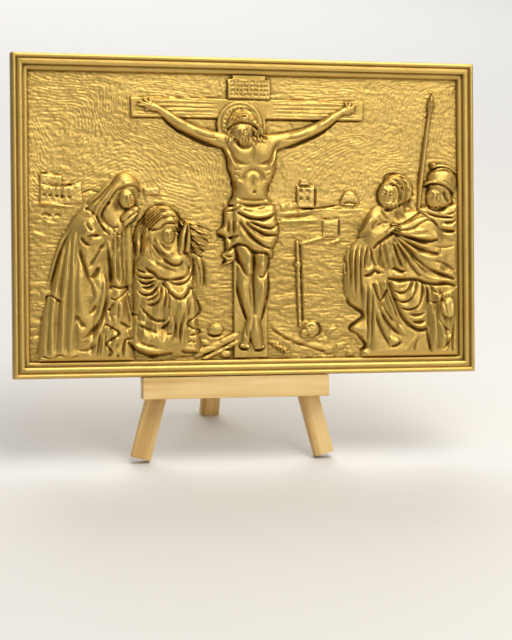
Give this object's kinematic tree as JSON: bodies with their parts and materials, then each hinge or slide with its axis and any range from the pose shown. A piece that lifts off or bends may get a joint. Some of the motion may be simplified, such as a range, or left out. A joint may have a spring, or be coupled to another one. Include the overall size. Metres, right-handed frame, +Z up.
{
  "type": "religious relief panel",
  "caption": "Gold-finished relief of robed figures round a cross in a stepped border, leaning on a small pine easel with a ledge and a folding rear leg.",
  "frame": {"origin": "on the ground under the middle of the panel, half way between the front of the front feet and the back of the rear foot", "axes": "+Z up, +X to the viewer's right along the panel, -Y towards the viewer"},
  "size_m": [0.3, 0.0974, 0.2487],
  "materials": {
    "gold_finish": "satin gold",
    "pine": "plain sanded",
    "pin_metal": "satin"
  },
  "bodies": {
    "easel": {"relief_panel": "gold_finish", "front_leg_left": "pine", "front_leg_right": "pine", "ledge": "pine", "top_block": "pine", "pivot_pin": "pin_metal"},
    "rear_leg": {"rear_leg": "pine"}
  },
  "joints": [
    {"name": "rear_leg_fold", "type": "hinge", "parent": "easel", "child": "rear_leg", "pos_m": [-0.005, 0.02572, 0.20549], "axis": [1, 0, 0], "range_deg": [-21, 0]}
  ]
}
